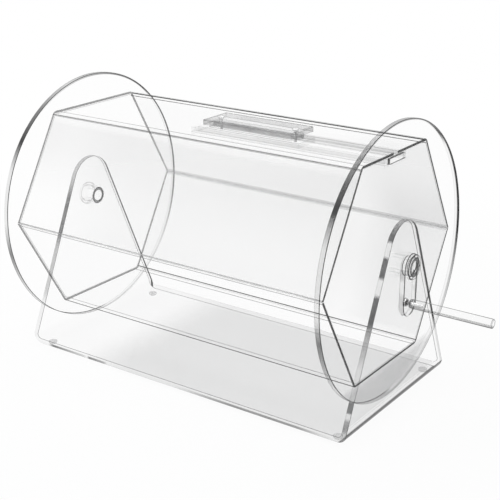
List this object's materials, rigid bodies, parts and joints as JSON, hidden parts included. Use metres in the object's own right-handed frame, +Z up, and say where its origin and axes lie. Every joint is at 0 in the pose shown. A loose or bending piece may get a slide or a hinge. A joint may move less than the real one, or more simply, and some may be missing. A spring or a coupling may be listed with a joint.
{
  "type": "raffle drum with crank",
  "caption": "Clear acrylic six-sided ticket drum between round discs, turning by a crank in a bent sheet stand, with a sliding ticket door in its top.",
  "frame": {"origin": "on the table under the middle of the whole object's box, crank handle included", "axes": "+X along the drum's axis towards the crank, +Y to the back, +Z up"},
  "size_m": [0.534, 0.296, 0.309],
  "materials": {
    "clear_acrylic": "clear cast acrylic with flame-polished edges",
    "smoked_acrylic": "grey translucent acrylic tube",
    "clear_rubber": "clear soft polyurethane bumper",
    "clear_nylon": "natural translucent nylon washer",
    "steel": "turned stainless steel"
  },
  "bodies": {
    "stand": {"stand": "clear_acrylic", "arm_bushes": "smoked_acrylic", "foot_front_left": "clear_rubber", "foot_front_right": "clear_rubber", "foot_back_left": "clear_rubber", "foot_back_right": "clear_rubber"},
    "drum": {"upper_shell": "clear_acrylic", "lower_shell": "clear_acrylic", "left_disc": "clear_acrylic", "right_disc": "clear_acrylic", "left_axle_tube": "smoked_acrylic", "right_axle_tube": "smoked_acrylic", "axle_spacers": "clear_acrylic", "left_collar": "clear_acrylic", "crank_lever": "clear_acrylic", "right_collar": "clear_acrylic", "rail_spacer_front": "clear_acrylic", "rail_spacer_back": "clear_acrylic", "rail_ledge_front": "clear_acrylic", "rail_ledge_back": "clear_acrylic"},
    "door": {"door_strip": "clear_acrylic", "door_stem": "clear_acrylic", "door_grip": "clear_acrylic", "door_screws": "steel"},
    "handle": {"handle_rod": "clear_acrylic", "handle_screw": "steel", "handle_washer": "clear_nylon"}
  },
  "joints": [
    {"name": "drum_spin", "type": "hinge", "parent": "stand", "child": "drum", "pos_m": [-0.04825, 0, 0.161], "axis": [1, 0, 0], "continuous": true},
    {"name": "door_slide", "type": "slide", "parent": "drum", "child": "door", "axis": [1, 0, 0], "range_m": [0, 0.108]},
    {"name": "handle_spin", "type": "hinge", "parent": "drum", "child": "handle", "pos_m": [0.17675, 0, 0.121], "axis": [1, 0, 0], "continuous": true}
  ]
}
